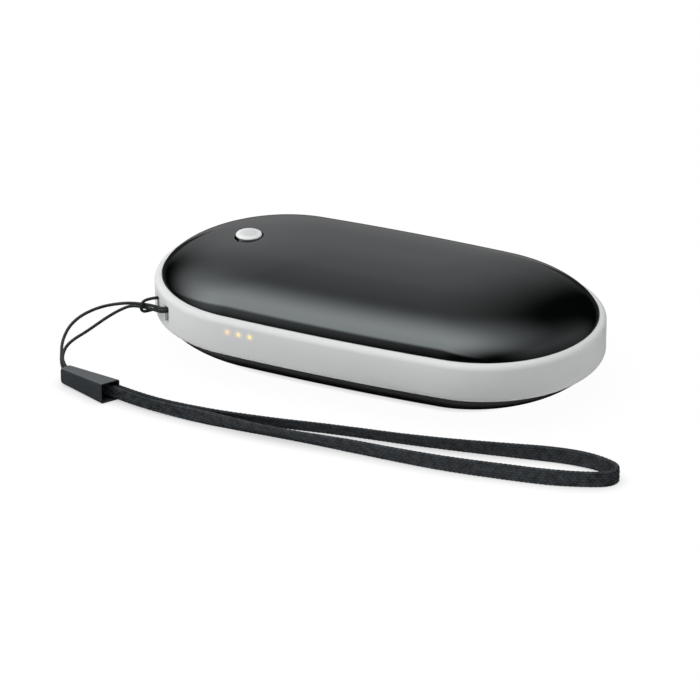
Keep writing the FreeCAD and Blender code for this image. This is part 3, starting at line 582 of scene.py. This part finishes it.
def ringSize(x, y, inset):
    # r of the oval ring through each point: halving search on the signed distance to the ring;
    # tiny keeps a ring of no size from dividing by nought
    x, y = np.abs(x), np.abs(y)
    low, high = np.zeros_like(x), np.full_like(x, cover["widestRing"])
    for _ in range(cover["halvings"]):
        r = (low + high) / 2
        tip, wide = (hull["endRadius"] - inset) * r, (hull["halfWidth"] - inset) * r
        centre = hull["endX"] * (r + cover["crownShare"] * (1 - r))
        long = (centre ** 2 + wide ** 2 - tip ** 2) / (2 * (wide - tip) + cover["tiny"])
        inEnd = x * (long - wide) > (y + long - wide) * centre
        gap = np.where(inEnd, np.hypot(x - centre, y) - tip, np.hypot(x, y + long - wide) - long)
        low, high = np.where(gap > 0, r, low), np.where(gap > 0, high, r)
    return (low + high) / 2


def domeHeight(x, y, inset, height, lift):
    # height over the seam = h (1 - s^p)^q, s the ring's share past the flat crown; lift = a slight crown
    r = ringSize(x, y, inset)
    share = np.clip((r - cover["crownFlat"]) / (1 - cover["crownFlat"]), 0, 1)
    crown = np.clip(1 - (r / cover["liftReach"]) ** 2, 0, None) ** 2
    return height * (1 - share ** cover["power"]) ** cover["rise"] + lift * crown


def outlinePoints(inset, count):
    # equal arc steps round the body oval, by walking its four arcs' lengths
    a, b, e = hull["halfLength"] - inset, hull["halfWidth"] - inset, hull["endRadius"] - inset
    c = a - e
    s = (c * c + b * b - e * e) / (2 * (b - e))
    join = math.atan2(s - b, c)
    endArc, sideArc = e * join, s * (math.pi / 2 - join)
    walk = np.linspace(0, 4 * (endArc + sideArc), count, endpoint=False)
    quarter = endArc + sideArc
    index = np.floor(walk / quarter)
    w = walk - index * quarter
    w = np.where(index % 2 == 1, quarter - w, w)
    turn = np.where(w < endArc, w / e, join + (w - endArc) / s)
    x = np.where(w < endArc, c + e * np.cos(turn), s * np.cos(turn))
    y = np.where(w < endArc, e * np.sin(turn), b - s + s * np.sin(turn))
    return np.stack([np.where((index == 1) | (index == 2), -x, x), np.where(index >= 2, -y, y)], 1)


def coverSurface(name, centre, hole, lift, sign):
    # closed profile swept round the outline: hole wall, hole edge, dome, skirt, then back along the inside
    outer = outlinePoints(cover["outerInset"], cover["around"])
    inner = outlinePoints(cover["innerInset"], cover["around"])
    aim = outer - centre
    reachOut = np.linalg.norm(aim, axis=1)[:, None]
    aim = aim / reachOut
    start = hole + (cover["holeEdge"] if hole else 0.0)
    u = np.linspace(0, 1, cover["across"])
    out = start + (reachOut - start) * (1 - (1 - u) ** cover["crowd"])
    xOut, yOut = centre[0] + aim[:, :1] * out, centre[1] + aim[:, 1:] * out
    zOut = hull["seamTop"] + domeHeight(xOut, yOut, cover["outerInset"], cover["outerHeight"], lift)
    v = np.linspace(1, 0, cover["across"] // 2)
    share = (1 - (1 - v) ** cover["crowd"])[None, :]
    holePoint = centre + aim * hole
    xIn = holePoint[:, :1] * (1 - share) + inner[:, :1] * share
    yIn = holePoint[:, 1:] * (1 - share) + inner[:, 1:] * share
    zIn = hull["seamTop"] + domeHeight(xIn, yIn, cover["innerInset"], cover["innerHeight"], 0.0)
    skirtZ = hull["seamTop"] - cover["skirt"]
    rings = cover["skirtRings"]
    drop = np.linspace(hull["seamTop"], skirtZ, rings + 1)[1:]
    xs = [xOut, np.repeat(outer[:, :1], rings, 1), np.repeat(inner[:, :1], rings, 1), xIn]
    ys = [yOut, np.repeat(outer[:, 1:], rings, 1), np.repeat(inner[:, 1:], rings, 1), yIn]
    zs = [zOut, np.broadcast_to(drop, (cover["around"], rings)),
          np.broadcast_to(drop[::-1], (cover["around"], rings)), zIn]
    if hole:
        bend = np.linspace(0, np.pi / 2, cover["edgeRings"] + 1)[None, 1:]
        radius = start - cover["holeEdge"] * np.sin(bend)
        fall = cover["holeEdge"] * (1 - np.cos(bend))
        xEdge, yEdge = centre[0] + aim[:, :1] * radius, centre[1] + aim[:, 1:] * radius
        xs.insert(0, xEdge[:, ::-1])
        ys.insert(0, yEdge[:, ::-1])
        zs.insert(0, (zOut[:, :1] - fall)[:, ::-1])
    points = np.stack([np.concatenate(part, 1) for part in (xs, ys, zs)], -1)
    if sign < 0:
        points[..., 2] = 2 * hull["midZ"] - points[..., 2]
    return gridMesh(name, points, closeRows=True, closeColumns=bool(hole))


topMesh = coverSurface("top_cover_dome", centre=np.array([hull["buttonX"], 0.0]), hole=cover["holeRadius"],
                       lift=cover["crownLift"], sign=1)
finishMesh("top_cover_dome", topMesh, coverLacquer, "case", ["top_cover"])
bottomMesh = coverSurface("bottom_cover_dome", centre=np.zeros(2), hole=0.0, lift=0.0, sign=-1)
finishMesh("bottom_cover_dome", bottomMesh, coverLacquer, "case", ["bottom_cover"])


# button: a level pebble of a cap, drawn in under its rim, on its stem
button = {"radius": 2.83, "proud": 0.55, "crown": 0.42, "edge": 0.42, "neck": 0.7, "neckFull": 0.14,
          "skirt": 2.2, "wallAt": (0.03, 0.08, 0.14, 0.4, 1.0), "around": 96, "crownRings": 30,
          "edgeRings": 8}


def buttonSurface(button):
    # revolved profile: crown = c (1 - t^2), rim = quarter circle, a smooth step in to the neck, flat end
    edge, radius = button["edge"], button["radius"]
    flat = np.linspace(0, 1, button["crownRings"]) * (radius - edge)
    bend = np.linspace(0, np.pi / 2, button["edgeRings"] + 1)[1:]
    wall = np.array(button["wallAt"])
    pull = np.clip(wall / button["neckFull"], 0, 1)
    neck = radius - button["neck"] * pull ** 2 * (3 - 2 * pull)
    reach = np.r_[flat, radius - edge + edge * np.sin(bend), neck, 0]
    crown = button["crown"] * (1 - (flat / radius) ** 2)
    rim = crown[-1] - edge
    fall = button["skirt"] - edge
    drop = np.r_[crown, rim + edge * np.cos(bend), rim - fall * wall, rim - fall]
    angle = np.linspace(0, 2 * np.pi, button["around"], endpoint=False)[:, None]
    x, y = hull["buttonX"] + reach * np.cos(angle), reach * np.sin(angle)
    skin = domeHeight(np.array([hull["buttonX"]]), np.array([0.0]), cover["outerInset"],
                      cover["outerHeight"], cover["crownLift"])
    z = np.broadcast_to(hull["seamTop"] + skin + button["proud"] + drop, x.shape)
    return gridMesh("power_button_cap", np.stack([x, y, z], -1).transpose(1, 0, 2))


capMesh = buttonSurface(button)
finishMesh("power_button_cap", capMesh, buttonMilk, "button", ["power_button"])


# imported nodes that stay: what each is made of, seen through the opened case or from outside

def dressNode(node, material):
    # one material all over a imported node
    mesh = frame["nodes"][node].data
    mesh.materials.clear()
    mesh.materials.append(material)


dressNode("middle_band", bandSatin)
insideLooks = {
    # frosted and lit from behind: a warm spot that fades to the edge of each pin
    "acrylic_moulded_frosted": {
        "nodes": ["light_guide"], "dark": "#D2C29C", "light": "#DACBA8", "rough": (0.35, 0.45),
        "grainMm": 0.2, "depthMm": 0.002, "driftMm": 1.0, "glow": (0.22, 0.75, 0.6)},
    # clear yellowish resin over the lamp chips
    "epoxy_cast_amber": {
        "nodes": ["charge_lights"], "dark": "#C9B36A", "light": "#D8C684", "rough": (0.15, 0.22),
        "grainMm": 0.2, "depthMm": 0.001, "driftMm": 0.8},
    # soft black tape, dull, with open cells
    "foam_tape_die_cut": {
        "nodes": ["top_gasket", "bottom_gasket", "tray_tape"], "dark": "#141414", "light": "#1D1D1D",
        "rough": (0.8, 0.9), "grainMm": 0.15, "depthMm": 0.02, "driftMm": 3.0},
    # bright sheet with fine draw lines
    "steel_drawn_bright": {
        "nodes": ["charge_socket_shell"], "dark": "#A9ABAC", "light": "#B9BBBC", "rough": (0.2, 0.32),
        "grainMm": 0.08, "depthMm": 0.001, "driftMm": 2.0, "sockets": {"Metallic": 1.0}},
    # bluish plated screws, a little uneven
    "steel_turned_zinc": {
        "nodes": ["tray_screws", "board_screws"], "dark": "#9A9C9F", "light": "#B0B1B2",
        "rough": (0.25, 0.4), "grainMm": 0.1, "depthMm": 0.003, "driftMm": 1.0,
        "sockets": {"Metallic": 1.0}},
    # plain black, slightly glossy
    "nylon_moulded_black": {
        "nodes": ["charge_socket_tongue", "switch_body", "switch_plunger"], "dark": "#151617",
        "light": "#1D1E1F", "rough": (0.38, 0.48), "grainMm": 0.12, "depthMm": 0.002, "driftMm": 2.0},
    # off-white tray with faint flow marks
    "abs_moulded_natural": {
        "nodes": ["battery_tray"], "dark": "#CFCABB", "light": "#DAD6C9", "rough": (0.42, 0.52),
        "grainMm": 0.2, "depthMm": 0.004, "driftMm": 12.0},
    # translucent white plug
    "nylon_moulded_white": {
        "nodes": ["battery_plug"], "dark": "#DCD9CF", "light": "#E6E4DC", "rough": (0.35, 0.45),
        "grainMm": 0.1, "depthMm": 0.002, "driftMm": 1.5},
    # green masked board, glossy over a woven base
    "glass_laminate_masked": {
        "nodes": ["main_board", "protection_board"], "dark": "#0C3B22", "light": "#11492B",
        "rough": (0.25, 0.36), "grainMm": 0.4, "depthMm": 0.004, "driftMm": 4.0},
    # dull dark chips
    "epoxy_moulded_dark": {
        "nodes": ["board_components", "thermistor"], "dark": "#191A1B", "light": "#242526",
        "rough": (0.55, 0.65), "grainMm": 0.06, "depthMm": 0.003, "driftMm": 1.0},
    # silver pouch, satin, slightly puckered
    "aluminium_laminate_pressed": {
        "nodes": ["battery_cell"], "dark": "#A6A8A9", "light": "#B6B8B9", "rough": (0.32, 0.46),
        "grainMm": 2.5, "depthMm": 0.05, "driftMm": 9.0, "sockets": {"Metallic": 0.85}},
    # warm grey metal strip, punched
    "nickel_stamped": {
        "nodes": ["cell_tabs", "cord_crimp"], "dark": "#9E9A91", "light": "#B1ADA4", "rough": (0.28, 0.4),
        "grainMm": 0.1, "depthMm": 0.002, "driftMm": 1.5, "sockets": {"Metallic": 1.0}},
    # soft red sleeves of the leads
    "silicone_extruded_red": {
        "nodes": ["battery_leads"], "dark": "#8E1A16", "light": "#A0241D", "rough": (0.5, 0.6),
        "grainMm": 0.3, "depthMm": 0.003, "driftMm": 3.0},
    # amber film with a glossy face
    "polyimide_film_rolled": {
        "nodes": ["top_heater_film", "bottom_heater_film"], "dark": "#9A5A12", "light": "#AE6B1A",
        "rough": (0.22, 0.34), "grainMm": 1.2, "depthMm": 0.006, "driftMm": 10.0},
    # putty-like grey-blue pads
    "silicone_pad_calendered": {
        "nodes": ["top_thermal_pad", "bottom_thermal_pad"], "dark": "#7C8A94", "light": "#8896A0",
        "rough": (0.65, 0.75), "grainMm": 0.25, "depthMm": 0.01, "driftMm": 8.0},
    # cut foam: open cells, no shine
    "polyurethane_foam_cut": {
        "nodes": ["top_foam", "bottom_foam"], "dark": "#4A4B4D", "light": "#5B5C5E", "rough": (0.85, 0.95),
        "grainMm": 0.35, "depthMm": 0.06, "driftMm": 6.0}}
for name, look in insideLooks.items():
    material = mouldedMaterial(name, look)
    for node in look["nodes"]:
        dressNode(node, material)
print("nodes dressed")


# floor and light

# contactMm = reach of the contact shadow at the hull and away from it, nearMm = gaps from the hull between
# which it changes, sheetMm = half widths where the mirrored sheet ends and where it is full
floorLook = {"half": 6.0, "drop": 0.00002, "paper": "#FFFFFF", "whiteShare": 0.97, "contactMm": (1.35, 3.7),
             "contactLevel": 0.5, "nearMm": (3.0, 7.0), "mirrorMm": 30.0, "openFrom": 0.92,
             "mirrorFrom": 0.25, "sheetMm": (46.5, 40.0), "sheetMiddle": 0.5, "sheetTurn": 24.5,
             "sheetSpread": 0.14, "reflectedDarkLevel": 0.04, "samples": 12}


def makeFloor():
    # a wide sheet of white paper; what the camera or a reflection sees is mostly plain white that dims
    # close under the object, more so in reflections; the rest is the lit paper with its shadow.
    # light gets in under the body's round sides, so its own contact shadow is shorter than the lanyard's.
    # in reflections the floor is painted dark beside the sheet, as if dark flags stood there: the white
    # is as wide as the object and spreads behind it
    half, z = floorLook["half"], -floorLook["drop"]
    mesh = bpy.data.meshes.new("floor")
    mesh.from_pydata([(-half, -half, z), (half, -half, z), (half, half, z), (-half, half, z)], [],
                     [(0, 1, 2, 3)])
    floor = bpy.data.objects.new("floor", mesh)
    scene.collection.objects.link(floor)
    material = bpy.data.materials.new("paper_matt_white")
    material.use_nodes = True
    tree = material.node_tree
    tree.nodes.clear()
    path = addNode(tree, "ShaderNodeLightPath")
    place = addNode(tree, "ShaderNodeTexCoord")
    axes = addNode(tree, "ShaderNodeSeparateXYZ", None, {0: place.outputs["Object"]})
    held = addNode(tree, "ShaderNodeClamp", {"Min": -hull["endX"] * mm, "Max": hull["endX"] * mm},
                   {"Value": axes.outputs["X"]})
    core = addNode(tree, "ShaderNodeCombineXYZ", None, {"X": held.outputs[0]})
    off = addNode(tree, "ShaderNodeVectorMath", {"operation": "DISTANCE"},
                  {0: place.outputs["Object"], 1: core.outputs[0]})
    nearFrom, nearTo = [(hull["endRadius"] + gap) * mm for gap in floorLook["nearMm"]]
    reach = addNode(tree, "ShaderNodeMapRange", {
        "From Min": nearFrom, "From Max": nearTo, "To Min": floorLook["contactMm"][0] * mm,
        "To Max": floorLook["contactMm"][1] * mm}, {"Value": off.outputs["Value"]})
    near = addNode(tree, "ShaderNodeAmbientOcclusion", {"samples": floorLook["samples"]},
                   {"Distance": reach.outputs["Result"]})
    a = math.radians(floorLook["sheetTurn"])
    beside = addNode(tree, "ShaderNodeVectorMath", {
        "operation": "DOT_PRODUCT", 1: (math.cos(a), math.sin(a), 0)}, {0: place.outputs["Object"]})
    fromMiddle = addNode(tree, "ShaderNodeMath", {
        "operation": "SUBTRACT", 1: floorLook["sheetMiddle"] * mm}, {0: beside.outputs["Value"]})
    aside = addNode(tree, "ShaderNodeMath", {"operation": "ABSOLUTE"}, {0: fromMiddle.outputs[0]})
    ahead = addNode(tree, "ShaderNodeVectorMath", {
        "operation": "DOT_PRODUCT", 1: (math.sin(a), -math.cos(a), 0)}, {0: place.outputs["Object"]})
    behind = addNode(tree, "ShaderNodeMath", {"operation": "MINIMUM", 1: 0.0}, {0: ahead.outputs["Value"]})
    spread = addNode(tree, "ShaderNodeMath", {"operation": "MULTIPLY_ADD", 1: floorLook["sheetSpread"]},
                     {0: behind.outputs[0], 2: aside.outputs[0]})
    sheet = addNode(tree, "ShaderNodeMapRange", {
        "interpolation_type": "SMOOTHSTEP", "From Min": floorLook["sheetMm"][0] * mm,
        "From Max": floorLook["sheetMm"][1] * mm, "To Min": floorLook["reflectedDarkLevel"]},
        {"Value": spread.outputs[0]})
    under = addNode(tree, "ShaderNodeAmbientOcclusion", {
        "samples": floorLook["samples"], "Distance": floorLook["mirrorMm"] * mm})
    seen = addNode(tree, "ShaderNodeMath", {"operation": "MAXIMUM"},
                   {0: path.outputs["Is Camera Ray"], 1: path.outputs["Is Glossy Ray"]})
    seenAll = addNode(tree, "ShaderNodeMath", {"operation": "MAXIMUM"},
                      {0: seen.outputs[0], 1: path.outputs["Is Transmission Ray"]})
    share = addNode(tree, "ShaderNodeMath", {"operation": "MULTIPLY", 1: floorLook["whiteShare"]},
                    {0: seenAll.outputs[0]})
    eye = addNode(tree, "ShaderNodeMapRange", {
        "From Max": floorLook["openFrom"], "To Min": floorLook["contactLevel"]},
        {"Value": near.outputs["AO"]})
    mirror = addNode(tree, "ShaderNodeMapRange", {
        "From Min": floorLook["mirrorFrom"], "From Max": floorLook["openFrom"]},
        {"Value": under.outputs["AO"]})
    mirrored = addNode(tree, "ShaderNodeMath", {"operation": "MULTIPLY"},
                       {0: mirror.outputs["Result"], 1: sheet.outputs["Result"]})
    level = addNode(tree, "ShaderNodeMix", {"data_type": "FLOAT"},
                    {0: path.outputs["Is Camera Ray"], 2: mirrored.outputs[0], 3: eye.outputs["Result"]})
    paper = addNode(tree, "ShaderNodeBsdfDiffuse", {"Color": linear(floorLook["paper"])})
    white = addNode(tree, "ShaderNodeEmission", None, {"Strength": level.outputs[0]})
    mix = addNode(tree, "ShaderNodeMixShader", None,
                  {"Fac": share.outputs[0], 1: paper.outputs[0], 2: white.outputs[0]})
    addNode(tree, "ShaderNodeOutputMaterial", None, {"Surface": mix.outputs[0]})
    mesh.materials.append(material)


# soft studio light: one large softbox and dimmer patches on dark walls, all a little cold; azimuth from the
# back (+Y) towards the right (+X), degrees; edges and sizes are parts of the distance, each edge = where it
# is dark, where full
studioTint = (0.965, 1.0, 1.015, 1)
softBox = {"azimuth": -132.2, "elevation": 45.4, "roll": 24.6, "level": 3.26,
           "edges": [("X", -0.91, -0.177), ("X", 0.861, 0.278), ("Y", -0.172, -0.02), ("Y", 0.864, 0.208),
                     ("Z", -1.0, -0.9)]}
studioLights = {
    "leftWall": {"azimuth": -60.3, "elevation": 55.1, "level": 0.37, "size": (0.61, 0.58),
                 "soft": (0.46, 1.13)},
    "overhead": {"azimuth": 110.6, "elevation": 90.0, "level": 1.91, "size": (0.33, 0.26),
                 "soft": (0.0, 2.20)},
    "backWall": {"azimuth": -26.9, "elevation": 0.0, "level": 0.97, "size": (0.23, 0.50),
                 "soft": (0.0, 1.96)},
    "rightWall": {"azimuth": 76.4, "elevation": 21.1, "level": 0.53, "size": (0.91, 1.03),
                  "soft": (0.45, 1.05)},
    "lowFront": {"azimuth": -130.0, "elevation": 20.6, "level": 1.13, "size": (0.56, 0.74),
                 "soft": (0.04, 1.26)}}


def aimed(light):
    # direction of a light, and the turn of a sheet that faces the object from there
    a, e = math.radians(light["azimuth"]), math.radians(light["elevation"])
    turn = Euler((math.pi / 2 - e, 0, math.pi - a)).to_matrix()
    turn = turn @ Matrix.Rotation(math.radians(light.get("roll", 0)), 3, "Z")
    return (math.sin(a) * math.cos(e), math.cos(a) * math.cos(e), math.sin(e)), turn.to_euler()


def makeWorld():
    # softbox = product of its soft edges; patch = smooth fade of the stretched distance from its centre
    world = bpy.data.worlds.new("studio")
    scene.world = world
    world.use_nodes = True
    tree = world.node_tree
    tree.nodes.clear()
    place = addNode(tree, "ShaderNodeTexCoord")
    centre, turn = aimed(softBox)
    local = addNode(tree, "ShaderNodeMapping", {
        "vector_type": "TEXTURE", "Location": centre, "Rotation": turn},
        {"Vector": place.outputs["Generated"]})
    across = addNode(tree, "ShaderNodeSeparateXYZ", None, {0: local.outputs[0]})
    total = None
    for axis, dark, full in softBox["edges"]:
        edge = addNode(tree, "ShaderNodeMapRange", {
            "interpolation_type": "SMOOTHSTEP", "From Min": dark, "From Max": full,
            "To Max": softBox["level"] if total is None else 1.0}, {"Value": across.outputs[axis]})
        fade = edge.outputs["Result"]
        total = fade if total is None else addNode(
            tree, "ShaderNodeMath", {"operation": "MULTIPLY"}, {0: total, 1: fade}).outputs[0]
    for light in studioLights.values():
        centre, turn = aimed(light)
        local = addNode(tree, "ShaderNodeMapping", {
            "vector_type": "TEXTURE", "Location": centre, "Rotation": turn, "Scale": (*light["size"], 1)},
            {"Vector": place.outputs["Generated"]})
        away = addNode(tree, "ShaderNodeVectorMath", {"operation": "LENGTH"}, {0: local.outputs[0]})
        patch = addNode(tree, "ShaderNodeMapRange", {
            "interpolation_type": "SMOOTHSTEP", "From Min": light["soft"][1], "From Max": light["soft"][0],
            "To Max": light["level"]}, {"Value": away.outputs["Value"]})
        total = addNode(tree, "ShaderNodeMath", {"operation": "ADD"},
                        {0: total, 1: patch.outputs["Result"]}).outputs[0]
    back = addNode(tree, "ShaderNodeBackground", {"Color": studioTint}, {"Strength": total})
    addNode(tree, "ShaderNodeOutputWorld", None, {"Surface": back.outputs[0]})


makeFloor()
makeWorld()
scene.view_settings.view_transform = "Standard"
print("stage lit")
